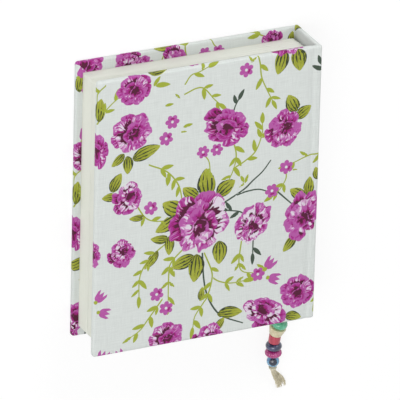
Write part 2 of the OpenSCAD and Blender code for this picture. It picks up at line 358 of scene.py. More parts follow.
def blossomGroup():
    tree, given, out = motifGroup("blossomMotif")
    x, y, number = splitCell(given["Vector"])
    reach, around = (x * x + y * y + 0.0001).sqrt(), y.angle(x)
    flower = abs((around * 3.0 + number * 0.9).cos()) ** 0.7 * 0.32 + 0.58 - reach
    cloud = noise(vectorOf(x, y, number * 3.0), 2.5)
    petal = mixColor(cloud.rise(0.4, 0.62) * 0.3, inks["orchid"], inks["mulberry"])
    dots = (abs(reach - 0.40) - 0.10).rise(0.05, -0.02) * (around + number).sin().rise(0.72, 0.9)
    color = mixColor(dots, petal, inks["magenta"])
    color = mixColor(reach.rise(0.20, 0.15), color, inks["ground"])
    # number 4 is a tulip bud with a green cup
    bud = number > 3.5
    teeth = abs(((x * 1.7) % 1.0) - 0.5)
    foot, seat = y + 0.2, y + 0.82
    cup = x * x * -1.25 + 0.66 + y * 0.30 - foot.least(0.0) * foot * 1.4 - 0.1
    tulip = (teeth * 1.3 + 0.28 - y).least(cup)
    stalk = (x * x + seat * seat).sqrt() * -1.0 + 0.26
    color = mixColor(bud, color, mixColor(stalk.rise(-0.02, 0.02), petal, inks["lime"]))
    shape = mixValue(bud, flower, tulip.most(stalk))
    return closeGroup(tree, out, Color=color, Mask=shape.rise(-0.025, 0.025))


def vineGroup():
    # U is the distance from a stem's tip in mm plus its kind, V the distance across it
    tree, given, out = motifGroup("vineMotif")
    u, v, _ = parts(given["Vector"])
    kind = ((u + 200.0) / kindStep).floor()                 # U falls below zero past the tip
    along = u - kind * kindStep
    dark = kind > 0.5
    line = along.least(16.0) * 0.008 + 0.24 + dark * 0.06 - abs(v)
    return closeGroup(tree, out, Color=mixColor(dark, inks["lime"], inks["stem"]),
                      Mask=line.rise(-0.06, 0.06) * (along > 0.0))


def weaveGroup():
    tree, given, out = makeGroup("plainWeave", "ShaderNodeTree", {"Vector": "Vector", "Pitch": "Float"},
                                 {"Height": "Float", "Tone": "Float"})
    x, y, _ = parts(given["Vector"])
    sway = noise(given["Vector"], 0.35, 1.0) * 0.5
    u, v = (x + sway) / given["Pitch"], (y - sway) / given["Pitch"]
    over = (u.floor() + v.floor()) % 2.0
    warp, weft = (((t % 1.0) * math.pi).sin() for t in (u, v))
    height = mixValue(over, warp * (weft * 0.5 + 0.5), weft * (warp * 0.5 + 0.5))
    slubs = noise(vectorOf(x * 0.12, y * 2.2, 0.0), 1.0, 1.0) + noise(vectorOf(x * 2.2, y * 0.12, 4.0), 1.0, 1.0)
    # the slubs give the yarn's own tone; the weave height adds painted shade, darker between the threads and lighter on
    # their crowns
    return closeGroup(tree, out, Height=height + slubs * 0.6, Tone=(slubs - 1.0) * 0.5 + (height - 0.5) * 0.25)


def printedCotton():
    material, tree = newMaterial("printedCotton")

    def clothMap(name):
        return shader(tree, "UVMap", uv_map=name)

    woven = useGroup(tree, weaveGroup(), {"Vector": clothMap("cloth"), "Pitch": 0.42})
    color = inks["ground"]
    for layer, group in dict(vine=vineGroup(), leaf=leafGroup(), blossom=blossomGroup(), rose=roseGroup()).items():
        motif = useGroup(tree, group, {"Vector": clothMap(layer)})
        color = mixColor(motif["Mask"], color, motif["Color"])
    # the base colour takes the yarn's tone and the weave's painted shade between the threads
    return coat(material, {
        "Base Color": shaded(color, woven["Tone"], 0.32), "Roughness": 0.86, "Specular IOR Level": 0.25,
        "Sheen Weight": 0.08, "Normal": bumpOf(woven["Height"], 0.30, 0.00012)})


# where the motifs lie on one repeat of the fabric, in mm from the middle of the front cover

fabric = dict(
    repeat=(128, 156), drop=52, seed=7, roseScale=0.98, leafScale=1.16, sprigStep=0.4,
    # x, y, half width, half height, turn
    roses=[
        (-39, 64, 9.0, 8.6, 10), (-40, 42, 11.0, 10.6, 40), (-41, 9, 8.6, 8.2, 75), (-43, -19, 8.0, 7.4, 110),
        (-3.6, -8.6, 15.4, 17.4, -30), (8.2, 37.6, 12.8, 10.2, -20), (38, 31, 10.6, 9.6, 60),
        (49, -15, 10.6, 13.2, -15), (23.4, -15, 9.0, 12.2, -35), (47.6, -54, 9.4, 9.2, -15), (-20, -66, 9.4, 8.2, 20),
        (31, -63, 12.6, 8.6, 150), (2.6, -72, 9.6, 9.0, 90), (40, 77.4, 10.5, 10.0, 12), (-58, 36, 7.0, 10.0, 5),
        (-59, -17, 5.4, 7.6, 10)],
    # x, y, half sizes, turn of the motifs near the edges that don't repeat
    onceOnly=dict(
        roses=[(192, 75, 10.0, 8.6, 30), (205, 22, 8.4, 10.0, 60), (203, -61, 8.8, 9.6, 200), (171, 77, 8.4, 7.4, 140),
               (147, 79, 8.6, 6.6, 100), (97.5, 76.6, 5.6, 5.0, 45)],
        leaves=[(201, 60, 5.0, 2.6, 84), (201, -33, 5.2, 3.2, 200), (152, 71, 5.6, 2.9, 8)]),
    # x, y, radius, and a bud's turn
    blossoms=[
        (-19, 44, 4.0), (-22, 36, 4.0), (18, 64, 4.1), (-3, 26, 3.6), (4, 26, 3.6), (-29, 2, 4.0), (40, 11, 4.0),
        (33, 0, 4.0), (27, -42, 4.0), (-25, -43, 4.0), (-20, -51, 4.0), (-8, 74, 4.0)],
    buds=[
        (-54, -39.4, 3.7, -42), (-51.8, -47.8, 3.6, -108), (32.9, -37.6, 4.0, -42), (35.2, -45.6, 3.9, -108),
        (-44, -72, 4.2, 20), (-52, -71, 4.2, -20)],
    # x, y, half length, width to length, turn
    leaves=[
        (-32, 31, 6.4, 0.40, 19), (-46, 29, 3.6, 0.45, -139), (-41, 26, 4.0, 0.50, -88), (-56, 56, 5.0, 0.45, 86),
        (-47, 18, 4.4, 0.50, 63), (-50, 11, 3.4, 0.50, -177), (-1, 10, 6.4, 0.55, 96), (-9, 6, 4.4, 0.55, 143),
        (-18, 0, 5.2, 0.60, 151), (-20, -8, 6.0, 0.45, -152), (-24, -15, 4.2, 0.42, 171), (-19, -19, 4.2, 0.45, -88),
        (-12, -29, 5.4, 0.50, -161), (-5, -33, 6.2, 0.50, -94), (7, -27, 5.2, 0.55, -88), (9, 6, 4.8, 0.60, 36),
        (36, 65, 5.4, 0.50, -103), (45, 65, 5.0, 0.60, -80), (42, 43, 4.4, 0.60, 119), (48, 38, 4.0, 0.55, 36),
        (46, -3.4, 3.8, 0.55, 150), (52, -1, 4.2, 0.50, 86), (56, 5, 3.0, 0.55, 107), (43, -29, 4.2, 0.45, -129),
        (13, -59, 5.6, 0.42, -4), (46, -67, 3.8, 0.50, -15), (-2, -47, 3.2, 0.42, 86), (8, -64, 3.0, 0.50, 57),
        (-28, -25, 4.6, 0.38, -129), (-36, -2, 3.4, 0.38, 179), (-26, 72, 4.6, 0.5, 12)],
    # x, y, half length, turn of lime leaves on no stem
    loose=[
        (17.7, 8.6, 2.5, 121), (19.7, 8.6, 2.3, 71), (17.4, 5.6, 1.7, 213), (-11, 41, 2.5, 10), (-12.9, 38, 1.7, -10),
        (-20.7, 53, 2.2, 5), (-16.6, 56.6, 1.8, -45), (-24.2, 63.7, 3.8, -4), (-27.3, 66, 2.8, 55), (44.4, 8.8, 1.5, 0),
        (20.2, 69.4, 1.8, 110), (21.8, 68.6, 1.8, 40)],
    looseWide=0.36,
    # kind 0 a lime sprig, 1 a dark bare stem, 2 a dark sprig
    stems=[
        (0, [(-57, 49), (-54, 54), (-50, 58), (-46, 61)]), (0, [(-13, 62), (-10, 66), (-6, 67), (-1, 69)]),
        (0, [(-13, 57), (-7, 59), (-3, 58), (2, 52), (5, 49)]),
        (0, [(-30, 24), (-21, 19), (-15, 11), (-13, 2), (-12, -4)]),
        (0, [(24, 70), (25, 66), (26, 59), (29, 52), (32, 46)]), (0, [(12, 30), (14, 22), (13, 15), (10, 8)]),
        (0, [(13, 15), (19, 18), (24, 22), (27, 30), (27, 36)]), (0, [(62, 15), (52, 15), (45, 13), (41, 12)]),
        (0, [(40, 9), (40, 5), (37, 0), (34, -2)]), (0, [(-12, -22), (-18, -28), (-19, -34), (-19, -49)]),
        (0, [(-20, -17), (-27, -22), (-32, -28), (-34, -34), (-34, -43)]),
        (0, [(-22, -46), (-29, -55), (-33, -60), (-38, -63)]),
        (0, [(-1, -26), (3, -36), (3, -42), (1, -49), (-1, -52), (-5, -58), (-6, -64)]),
        (0, [(3, -39), (7, -42), (13, -44), (20, -44)]), (0, [(18, -23), (17, -34), (19, -39), (25, -41)]),
        (0, [(-37, 6), (-32, -2), (-27, -5), (-20, -6)]), (0, [(-3, 25), (0, 21), (1, 15)]),
        (0, [(34, -40), (30, -40), (27, -42)]), (1, [(8, -2), (18, 3), (23, 7), (28, 11), (32, 16)]),
        (1, [(15, 1), (20, 2), (26, 2), (31, 0)]), (1, [(36, -1), (40, -5), (46, -11)]),
        (1, [(-2, -26), (-1, -39), (1, -48), (5, -56), (10, -61), (20, -66)]), (2, [(12, 44), (13, 47), (14.6, 50)]),
        (2, [(59, 54), (57.6, 58), (56.4, 61)]), (2, [(21, -12), (17, -8), (10, -6)]),
        (2, [(24, -23), (24, -28), (24, -31)]), (0, [(-53, 68), (-57, 64), (-57, 56)]),
        (2, [(62, 30), (63, 42), (66, 50)]), (0, [(60, -40), (61, -52), (58, -62)]),
        (0, [(62, -2), (64, -14), (63, -24)])])


def runAlong(points):
    return np.concatenate([[0], np.cumsum(np.linalg.norm(np.diff(points, axis=0), axis=1))])


def smoothLine(points, step):
    # even points along a curve through the given ones
    p = np.array(points, float)
    p = np.vstack([2 * p[0] - p[1], p, 2 * p[-1] - p[-2]])
    t = np.linspace(0, 1, 24, endpoint=False)[:, None]
    pieces = [0.5 * (2 * b + (c - a) * t + (2 * a - 5 * b + 4 * c - d) * t ** 2 + (3 * b - a - 3 * c + d) * t ** 3)
              for a, b, c, d in zip(p, p[1:], p[2:], p[3:])]
    line = np.vstack(pieces + [p[-2:-1]])
    run = runAlong(line)
    at = np.linspace(0, run[-1], max(3, int(run[-1] / step)))
    return np.stack([np.interp(at, run, column) for column in line.T], axis=1), at


def repeats(fabric):
    width, height = fabric["repeat"]
    return [(i * width, j * height + i * fabric["drop"]) for i in (-1, 0, 1, 2) for j in (-2, -1, 0, 1)]


def sprigLeaves(fabric):
    # small leaves set unevenly along the leafy stems, with one at each tip
    dice = np.random.default_rng(fabric["seed"])
    leaves = []

    def ahead(way):
        return np.array([math.cos(way), math.sin(way)])

    def add(point, way, half, kind):
        x, y = point + half * ahead(way)
        leaves.append((x, y, half, half * dice.uniform(0.32, 0.42), math.degrees(way), 9 if kind == 2 else 7))

    for kind, line in fabric["stems"]:
        if kind == 1:
            continue
        p, run = smoothLine(line, fabric["sprigStep"])
        ways = np.arctan2(*np.gradient(p, axis=0).T[::-1])
        add(p[-1] - 0.6 * ahead(ways[-1]), ways[-1], dice.uniform(2.5, 3.3), kind)
        side, at = dice.choice([-1, 1]), run[-1] - dice.uniform(2.4, 4.6)
        while at > 0.12 * run[-1] + 0.8:
            i = min(int(np.searchsorted(run, at)), len(p) - 1)
            spread = math.radians(dice.uniform(32, 54))
            add(p[i], ways[i] + side * spread, dice.uniform(2.4, 3.3), kind)
            if dice.random() < 0.35:
                add(p[i], ways[i] - side * spread * 0.9, dice.uniform(2.1, 2.9), kind)
            at -= dice.uniform(4.2, 8.2)
            side = -side
    return leaves


def motifTable(fabric, kind):
    # centre, half sizes, turn and number of every motif of a kind, over all repeats
    if kind == "roses":
        big = fabric["roseScale"]
        rows = [(x, y, a * big, b * big, turn, i % 9) for i, (x, y, a, b, turn) in enumerate(fabric[kind])]
    elif kind == "leaves":
        big = fabric["leafScale"]
        rows = [(x, y, a * big, (a * big) * (wide * big), turn, i % 7)
                for i, (x, y, a, wide, turn) in enumerate(fabric[kind])]
        rows += sprigLeaves(fabric)
        rows += [(x, y, a, a * fabric["looseWide"], turn, 8) for x, y, a, turn in fabric["loose"]]
    else:
        rows = [(x, y, a, a, 0, i % 4) for i, (x, y, a) in enumerate(fabric[kind])]
        rows += [(x, y, a, a, turn, 4) for x, y, a, turn in fabric["buds"]]
    rows = [(x + dx, y + dy, *rest) for dx, dy in repeats(fabric) for x, y, *rest in rows]
    table = np.array(rows + [(*motif, i) for i, motif in enumerate(fabric["onceOnly"].get(kind, []))])
    table[:, 4] = np.radians(table[:, 4])
    return table


def nearestMotif(table, middles, corners):
    # each face takes its nearest motif, and its corners that motif's own coordinates
    def local(points, rows):
        x, y = np.moveaxis(points - rows[..., :2], -1, 0)
        c, s = np.cos(rows[..., 4]), np.sin(rows[..., 4])
        return np.stack([(x * c + y * s) / rows[..., 2], (y * c - x * s) / rows[..., 3]], axis=-1)

    chosen = [(local(part[:, None], table[None]) ** 2).sum(-1).argmin(1) for part in np.array_split(middles, 20)]
    rows = table[np.concatenate(chosen)]
    uv = local(corners, rows[:, None])
    uv[(uv ** 2).sum(-1).max(1) > farSquared] = bareSpot
    uv[..., 0] += cellStep * rows[:, 5, None]
    return uv


def nearestStem(fabric, middles, corners):
    # each face takes its nearest point of a stem: place, direction, distance from the tip, length and kind
    rows = []
    for dx, dy in repeats(fabric):
        for kind, line in fabric["stems"]:
            p, run = smoothLine(line, fabric["sprigStep"])
            way = np.gradient(p, axis=0)
            way /= np.linalg.norm(way, axis=1)[:, None]
            rows.append(np.column_stack([p + (dx, dy), way, run[-1] - run, np.full((len(p), 2), (run[-1], kind))]))
    rows = np.concatenate(rows)
    tree = KDTree(len(rows))
    for i, row in enumerate(rows):
        tree.insert((row[0], row[1], 0), i)
    tree.balance()
    rows = rows[[tree.find((m[0], m[1], 0))[1] for m in middles]]
    d, way = corners - rows[:, None, :2], rows[:, None, 2:4]
    along = rows[:, 4, None] - (d * way).sum(-1)
    across = way[..., 0] * d[..., 1] - way[..., 1] * d[..., 0]
    across[along.mean(1) > rows[:, 5] + 0.3] = 50.0          # nothing past a stem's foot
    return np.stack([along + kindStep * rows[:, 6, None], across], axis=-1)


# the covering cloth, in two halves that meet along the middle of the spine

case = dict(
    width=114, height=140, thick=27, cornerRadius=1.5, edgeRadius=1.1, innerRadius=0.9, spineRadius=1.2,
    coverDepth=2.95, jointDepth=2.25, spineDepth=2.36, jointFillet=0.8, turnIn=14, step=0.85,
    jointStep=0.4, jointEnd=49.5, coverStart=53, coverRamp=2.8, grooveAt=52.8, grooveWidth=1.3, grooveDepth=0.4,
    spineRows=12, cornerRows=9, edgeRows=6, innerRows=5, turnInRows=16, bend=2.5, flat=(0.1425, 0.1721))


def caseProfile(case):
    # stations from the middle of the spine over the joint to the fore-edge: x, z, way out; then their run and depth
    half, top, radius, far = case["width"] / 2, case["thick"], case["spineRadius"], case["jointEnd"]
    last = -half + case["cornerRadius"]
    rows = [(half, z, 1, 0) for z in np.linspace(top / 2, top - radius, case["spineRows"] + 1)[:-1]]
    for a in np.linspace(0, math.pi / 2, case["cornerRows"]):
        c, s = math.cos(a), math.sin(a)
        rows.append((half - radius + radius * c, top - radius + radius * s, c, s))
    rows += [(x, top, 0, 1) for x in np.arange(half - radius - case["jointStep"], far, -case["jointStep"])]
    rows += [(x, top, 0, 1) for x in np.linspace(far, last, int((far - last) / case["step"]))]
    rows = np.array(rows)
    length = runAlong(rows[:, :2])
    x, z = rows[:, 0], rows[:, 1]
    onCover = ease(np.clip((case["coverStart"] - x) / case["coverRamp"], 0, 1))
    coverZ = top - case["jointDepth"] - (case["coverDepth"] - case["jointDepth"]) * onCover
    # the inside runs up the spine, round a soft corner and along the cover
    spineX, jointZ, fillet = half - case["spineDepth"], top - case["jointDepth"], case["jointFillet"]
    onSpine = (rows[:, 3] == 0) & (z < jointZ - fillet)
    onFlat = (rows[:, 3] > 0.99) & (x < spineX - fillet)
    before, after = length[onSpine].max(), length[onFlat].min()
    turn = np.clip((length - before) / (after - before), 0, 1) * math.pi / 2
    inside = np.stack([spineX - fillet + fillet * np.cos(turn), jointZ - fillet + fillet * np.sin(turn)], axis=1)
    inside[onSpine] = np.stack([np.full(len(z), spineX), z], axis=1)[onSpine]
    inside[onFlat] = np.stack([x, coverZ], axis=1)[onFlat]
    rows[:, 1] -= case["grooveDepth"] * np.exp(-((x - case["grooveAt"]) / case["grooveWidth"]) ** 2) * onFlat
    through = rows[:, :2] - inside
    depth = np.hypot(through[:, 0], through[:, 1])
    rows[:, 2:] = through / depth[:, None]
    return rows, length, depth


def edgeRings(case, depth):
    # outward reach, depth and cloth length of each ring from the flat face over the edge to the end of the turn-in
    outer = np.minimum(case["edgeRadius"], 0.5 * depth)
    inner = np.minimum(case["innerRadius"], 0.45 * depth)
    rim, quarter = case["cornerRadius"], math.pi / 2
    rings = [(rim - outer + outer * math.sin(a), outer * (1 - math.cos(a)), rim - outer + outer * a)
             for a in np.linspace(0, quarter, case["edgeRows"])]
    wall = np.maximum(depth - outer - inner, 0)
    start = rim - outer + outer * quarter
    rings.append((rim + outer * 0, outer + wall * 0.5, start + wall * 0.5))
    rings += [(rim - inner * (1 - math.cos(a)), outer + wall + inner * math.sin(a), start + wall + inner * a)
              for a in np.linspace(0, quarter, case["innerRows"])]
    flatStart = start + wall + inner * quarter
    rings += [(rim - inner - d, depth, flatStart + d)
              for d in np.linspace(0, case["turnIn"] - case["innerRadius"], case["turnInRows"])[1:]]
    return rings


def mapPrint(mesh, faces, flat):
    # one UV map for the weave, and one for each kind of motif
    loops = np.array([v for f in faces for v in f])
    counts = np.array([len(f) for f in faces])
    starts = np.cumsum(counts) - counts
    quads = starts[:, None] + np.minimum(np.arange(4), counts[:, None] - 1)
    corners = flat[loops[quads]]
    middles = corners.mean(1)
    maps = {"cloth": corners, "vine": nearestStem(fabric, middles, corners)}
    for name, kind in dict(leaf="leaves", blossom="blossoms", rose="roses").items():
        maps[name] = nearestMotif(motifTable(fabric, kind), middles, corners)
    for name, values in maps.items():
        uv = np.zeros((len(loops), 2), np.float32)
        uv[quads] = values
        mesh.uv_layers.new(name=name).data.foreach_set("uv", uv.ravel())


def clothHalf(case, isRear):
    profile, length, depth = caseProfile(case)
    top, reachY = case["thick"], case["height"] / 2 - case["cornerRadius"]
    rowY = np.linspace(-reachY, reachY, int(2 * reachY / case["step"]))
    cols, rows, end = len(profile), len(rowY), length[-1]
    # fabric coordinate at the middle of the spine
    seam = case["width"] / 2 - case["spineRadius"] + length[case["spineRows"] + case["cornerRows"] - 1]

    def place(s, y, d):
        x, z, nx, nz = (np.interp(s, length, column) for column in profile.T)
        point = np.stack([x - d * nx - np.maximum(s - end, 0), y, z - d * nz], axis=-1)
        if isRear:
            point[..., 2] = top - point[..., 2]
        return point

    def onFabric(s, y):
        return np.stack([seam + s if isRear else seam - s, y], axis=-1)

    gridS, gridY = (g.ravel() for g in np.meshgrid(length, rowY, indexing="ij"))
    points, flat = [place(gridS, gridY, 0.0)], [onFabric(gridS, gridY)]
    firsts = [i * rows + j for i in range(cols - 1) for j in range(rows - 1)]
    faces = [(a, a + rows, a + rows + 1, a + 1) for a in firsts]

    # walk round three sides: column, row, direction along the cloth
    corner = np.radians([22.5, 45, 67.5])
    walk = [(i, 0, 0.0, -1.0) for i in range(cols)]
    walk += [(cols - 1, 0, math.sin(a), -math.cos(a)) for a in corner]
    walk += [(cols - 1, j, 1.0, 0.0) for j in range(rows)]
    walk += [(cols - 1, rows - 1, math.cos(a), math.sin(a)) for a in corner]
    walk += [(i, rows - 1, 0.0, 1.0) for i in reversed(range(cols))]
    col, row, wayS, wayY = np.array(walk).T
    col, row = col.astype(int), row.astype(int)
    here, level = length[col], rowY[row]
    ids = [col * rows + row]
    for out, deep, run in edgeRings(case, depth[col]):
        grow, shrink = np.maximum(out, 0), np.minimum(out, 0)
        inS = np.minimum(here, end + shrink)
        inY = np.clip(level, -reachY - shrink, reachY + shrink)
        s = np.where((wayS == 0) & (out < 0), np.minimum(here, end + out), inS + wayS * grow)
        y = np.where((wayY != 0) & (out < 0), np.sign(wayY) * (reachY + out), inY + wayY * grow)
        ids.append(np.arange(len(walk)) + sum(len(p) for p in points))
        points.append(place(s, y, deep))
        flat.append(onFabric(np.where(wayS != 0, here + wayS * run, inS), np.where(wayY != 0, level + wayY * run, inY)))
    points, flat = np.concatenate(points), np.concatenate(flat)
    for near, far in zip(ids, ids[1:]):
        for p in range(len(walk) - 1):
            kept = []
            for v in (near[p], far[p], far[p + 1], near[p + 1]):
                if all(np.abs(points[v] - points[w]).max() > 1e-5 for w in kept):
                    kept.append(v)
            if len(kept) > 2:
                faces.append(tuple(kept))
    if not isRear:
        faces = [f[::-1] for f in faces]
    # points that share a place become one, which closes the mitres
    _, first, same = np.unique(np.round(points, 4), axis=0, return_index=True, return_inverse=True)
    same = same.ravel()
    named = sorted({int(same[v]) for f in faces for v in f})
    order = {v: i for i, v in enumerate(named)}
    mesh = bpy.data.meshes.new("clothRear" if isRear else "clothFront")
    mesh.from_pydata((points[first[named]] * mm).tolist(), [], [tuple(order[int(same[v])] for v in f) for f in faces])
    mapPrint(mesh, faces, flat)
    shade(mesh)
    mesh.update()
    return mesh


cotton = printedCotton()
clothFront = addPiece("cloth_front", clothHalf(case, False), cotton)
clothRear = addPiece("cloth_rear", clothHalf(case, True), cotton)
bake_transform(clothFront)
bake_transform(clothRear)
for cloth, side in ((clothFront, "front"), (clothRear, "rear")):
    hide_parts(side + "_cloth", "spine_cloth")
print("cloth made:", len(clothFront.data.polygons), "faces a half")


# geometry node helpers

def geometryTree(name, floats, ints=()):
    inputs = {"Geometry": "Geometry", **dict.fromkeys(floats, "Float"), **dict.fromkeys(ints, "Int"),
              "Material": "Material"}
    return makeGroup(name, "GeometryNodeTree", inputs, {"Geometry": "Geometry"})


def closeTree(tree, given, out, shape):
    real = geo(tree, "RealizeInstances", {"Geometry": shape})
    return closeGroup(tree, out, Geometry=geo(tree, "SetMaterial", {"Geometry": real, "Material": given["Material"]}))


def grow(base, tree, material, lengths, **others):
    # runs a tree on an object and keeps only its result, as a plain mesh
    values = {**others, **{key: length * mm for key, length in lengths.items()}, "Material": material}
    modifier = base.modifiers.new("build", "NODES")
    modifier.node_group = tree
    for item in tree.interface.items_tree:
        if item.in_out == "INPUT" and item.name in values:
            modifier[item.identifier] = values[item.name]
    mesh = bpy.data.meshes.new_from_object(base.evaluated_get(bpy.context.evaluated_depsgraph_get()))
    bpy.data.objects.remove(base)
    return mesh


def growPiece(name, tree, material, lengths, curve=None, smooth=True, **others):
    if curve is None:
        data = bpy.data.meshes.new(name + "_base")
    else:
        data = bpy.data.curves.new(name + "_base", "CURVE")
        data.dimensions = "3D"
        spline = data.splines.new("POLY")
        spline.points.add(len(curve) - 1)
        for point, place in zip(spline.points, curve * mm):
            point.co = (*place, 1)
    mesh = grow(addObject(name + "_base", data), tree, material, lengths, **others)
    mesh.name = name
    shade(mesh, smooth)
    return addPiece(name, mesh, material)


def randomIn(low, high, ident, seed):
    node = addNode(ident.tree, "FunctionNodeRandomValue", data_type="FLOAT")
    plug(ident.tree, [s for s in node.inputs if s.enabled], dict(enumerate((low, high, ident, seed))))
    return Field(ident.tree, next(s for s in node.outputs if s.enabled))


def moved(tree, shape, **change):
    return geo(tree, "SetPosition", {"Geometry": shape, **change})


def joined(tree, *shapes):
    node = tree.nodes.new("GeometryNodeJoinGeometry")
    for shape in shapes:
        tree.links.new(shape.socket, node.inputs[0])
    return Field(tree, node.outputs[0])


def tubeAlong(tree, curve, radius, sides):
    ring = geo(tree, "CurvePrimitiveCircle", {"Resolution": sides, "Radius": radius})
    return geo(tree, "CurveToMesh", {"Curve": curve, "Profile Curve": ring, "Fill Caps": True})


def copiesOf(tree, curve, amount):
    inputs = {"Geometry": curve, "Amount": amount}
    made = addNode(tree, "GeometryNodeDuplicateElements", inputs, domain="SPLINE").outputs
    return Field(tree, made["Geometry"]), Field(tree, made["Duplicate Index"])


# papers, boards and thread

ruling = dict(headY=64.6, top=14.0, bottom=122.0, space=6.5, line=0.09, left=-49.0, right=45.0, margin=-38.0,
              headLine=0.32, marginLine=0.14, marginTop=6.0, marginEnd=126.0,
              grey=rgb(196, 196, 200), pink=rgb(196, 140, 186))


def drawnLine(distance, half):
    return (abs(distance) - half).rise(0.06, -0.02)


def paperMaterial(name, color, ruled=False):
    material, tree = newMaterial(name)
    point = shader(tree, "Attribute", out="Vector", attribute_name="pagePlace") if ruled else objectPoint(tree)
    fibre = grainOf(point, (900, 420, 900), 3.0, 0.6)
    tone = (fibre - 0.5) * 0.5 + (noise(point, 60.0, 1.0) - 0.5) * 0.4
    if ruled:
        onPage = shader(tree, "Attribute", out="Fac", attribute_name="pageFace")
        tone = tone + (grainOf(point, (40, 40, 11000)) - 0.5) * onPage.rest() * 1.6
        # unlettered diary ruling: even lines under a head rule, with one margin line
        x, y, _ = parts(point)
        down, side = y * -1000.0 + ruling["headY"], x * 1000.0
        between = (side < ruling["right"]) * (side > ruling["left"])
        rows = drawnLine(((down / ruling["space"] + 0.5) % 1.0 - 0.5) * ruling["space"], ruling["line"])
        rows = rows * (down > ruling["top"]) * (down < ruling["bottom"]) * between
        head = drawnLine(down - ruling["top"], ruling["headLine"]) * between
        margin = drawnLine(side - ruling["margin"], ruling["marginLine"])
        margin = margin * (down > ruling["marginTop"]) * (down < ruling["marginEnd"])
        color = mixColor(rows * onPage * 0.8, color, ruling["grey"])
        color = mixColor(head.most(margin) * onPage * 0.8, color, ruling["pink"])
    return coat(material, {"Base Color": shaded(color, tone, 0.07), "Roughness": 0.9, "Specular IOR Level": 0.2,
                           "Normal": bumpOf(fibre, 0.08, 0.00005)})


def boardMaterial(name, light, dark):
    material, tree = newMaterial(name)
    fleck = noise(objectPoint(tree), 1400.0, 3.0, 0.7)
    ply = grainOf(objectPoint(tree), (20, 20, 2500))
    color = mixColor(fleck.rise(0.35, 0.7), dark, light)
    return coat(material, {"Base Color": shaded(color, ply - 0.5, 0.3), "Roughness": 0.95,
                           "Normal": bumpOf(fleck, 0.3, 0.0001)})


def twineMaterial(name, light, dark):
    # natural fibre: fine strands along the piece, with darker hairs between
    material, tree = newMaterial(name)
    hair = grainOf(objectPoint(tree), (2600, 700, 2600), 3.0, 0.65)
    cloud = noise(objectPoint(tree), 320.0, 1.0)
    return coat(material, {
        "Base Color": mixColor((hair + cloud * 0.5).rise(0.5, 0.95), dark, light), "Roughness": 0.88,
        "Sheen Weight": 0.15, "Normal": bumpOf(hair, 0.5, 0.00006)})


pagePaper = paperMaterial("pagePaper", rgb(236, 238, 229), ruled=True)
endPaper = paperMaterial("endPaper", rgb(232, 232, 222))
sewingThread = twineMaterial("sewingThread", rgb(244, 241, 232), rgb(206, 200, 186))
hempTwine = twineMaterial("hempTwine", rgb(228, 220, 195), rgb(202, 193, 162))
nodeFinishes = dict(
    _board=boardMaterial("greyBoard", rgb(158, 155, 144), rgb(122, 119, 110)), _pastedown=endPaper, _flyleaf=endPaper,
    spine_liner=paperMaterial("linerPaper", rgb(214, 206, 188)), thread_=sewingThread)
for nodeName, node in cadNodes.items():
    for word, finish in nodeFinishes.items():
        if word in nodeName:
            node.data.materials.clear()
            node.data.materials.append(finish)


# the page block: folded sheets nested in ten sections

block = dict(
    foreEdge=-53.7, back=53.3, height=129.2, sectionThick=1.84, firstZ=3.6, sectionPitch=1.94, folios=9, leaf=0.094,
    ragged=0.07, gapLift=0.045, foldLift=0.27, seed=4, slide=0.97, sections=10,
    rounding=[0, 0.22, 0.46, 0.70, 0.94])                   # the back swells towards the middle sections
innermost = block["sections"] // 2


def foldedLeavesTree(flatSteps=6.0, foldSteps=8.0):
    tree, given, out = geometryTree("foldedLeaves", [
        "Fore Edge", "Fold Centre", "Middle", "Height", "Pitch", "Leaf", "Lift Top", "Lift Bottom", "Ragged"],
        ["Folios", "Seed"])
    steps = 2 * flatSteps + foldSteps
    line = geo(tree, "MeshLine", {"Count": given["Folios"], "Offset": (0, 0, 0)})
    numbered = geo(tree, "StoreNamedAttribute", {
        "Geometry": line, "Name": "folio", "Value": geo(tree, "InputIndex")}, data_type="FLOAT", domain="POINT")
    strip = geo(tree, "MeshGrid", {"Size X": 1.0, "Size Y": 1.0, "Vertices X": int(steps) + 1, "Vertices Y": 2})
    copies = geo(tree, "InstanceOnPoints", {"Points": numbered, "Instance": strip})
    real = geo(tree, "RealizeInstances", {"Geometry": copies})
    folio = geo(tree, "InputNamedAttribute", {"Name": "folio"}, data_type="FLOAT")
    px, py, _ = parts(geo(tree, "InputPosition"))
    at = ((px + 0.5) * steps).round()
    lower = (at / flatSteps).share()
    fold = ((at - flatSteps) / foldSteps).share()
    upper = ((at - (flatSteps + foldSteps)) / flatSteps).share()
    radius = (folio * -1.0 + given["Folios"] - 0.5) * given["Pitch"]
    free = lower.rest().most(upper)                         # 1 at the fore-edge, 0 at the fold
    ident = folio * 2.0 + (upper > 0.0)
    shiftX = randomIn(-1.0, 1.0, ident, given["Seed"]) * given["Ragged"] * free
    shiftY = randomIn(-1.0, 1.0, ident + 50.0, given["Seed"]) * given["Ragged"] * 0.8 * free
    turn = fold * math.pi
    level = turn.cos() * radius * -1.0
    share = level / (given["Folios"] * given["Pitch"])
    lift = (share.most(0.0) * given["Lift Top"] + share.least(0.0) * given["Lift Bottom"]) * ease(free)
    span = given["Fold Centre"] - given["Fore Edge"]
    x = span * (lower - upper) + given["Fore Edge"] + turn.sin() * radius + shiftX
    z = level + given["Middle"] + lift
    placed = moved(tree, real, Position=vectorOf(x, py * given["Height"] + shiftY, z))
    thick = geo(tree, "ExtrudeMesh", {"Mesh": placed, "Offset Scale": given["Leaf"], "Individual": False}, mode="FACES")
    both = joined(tree, thick, geo(tree, "FlipFaces", {"Mesh": placed}))
    return closeTree(tree, given, out, geo(tree, "MergeByDistance", {"Geometry": both, "Distance": 1e-6}))


def coverOf(i):
    return "rear_cover" if i <= innermost else "front_cover"


def fromCover(block, i):
    return min(i, block["sections"] + 1 - i)


def sectionLow(block, i):
    inFrom = block["firstZ"] + (fromCover(block, i) - 1) * block["sectionPitch"]
    return inFrom if i <= innermost else case["thick"] - inFrom - block["sectionThick"]


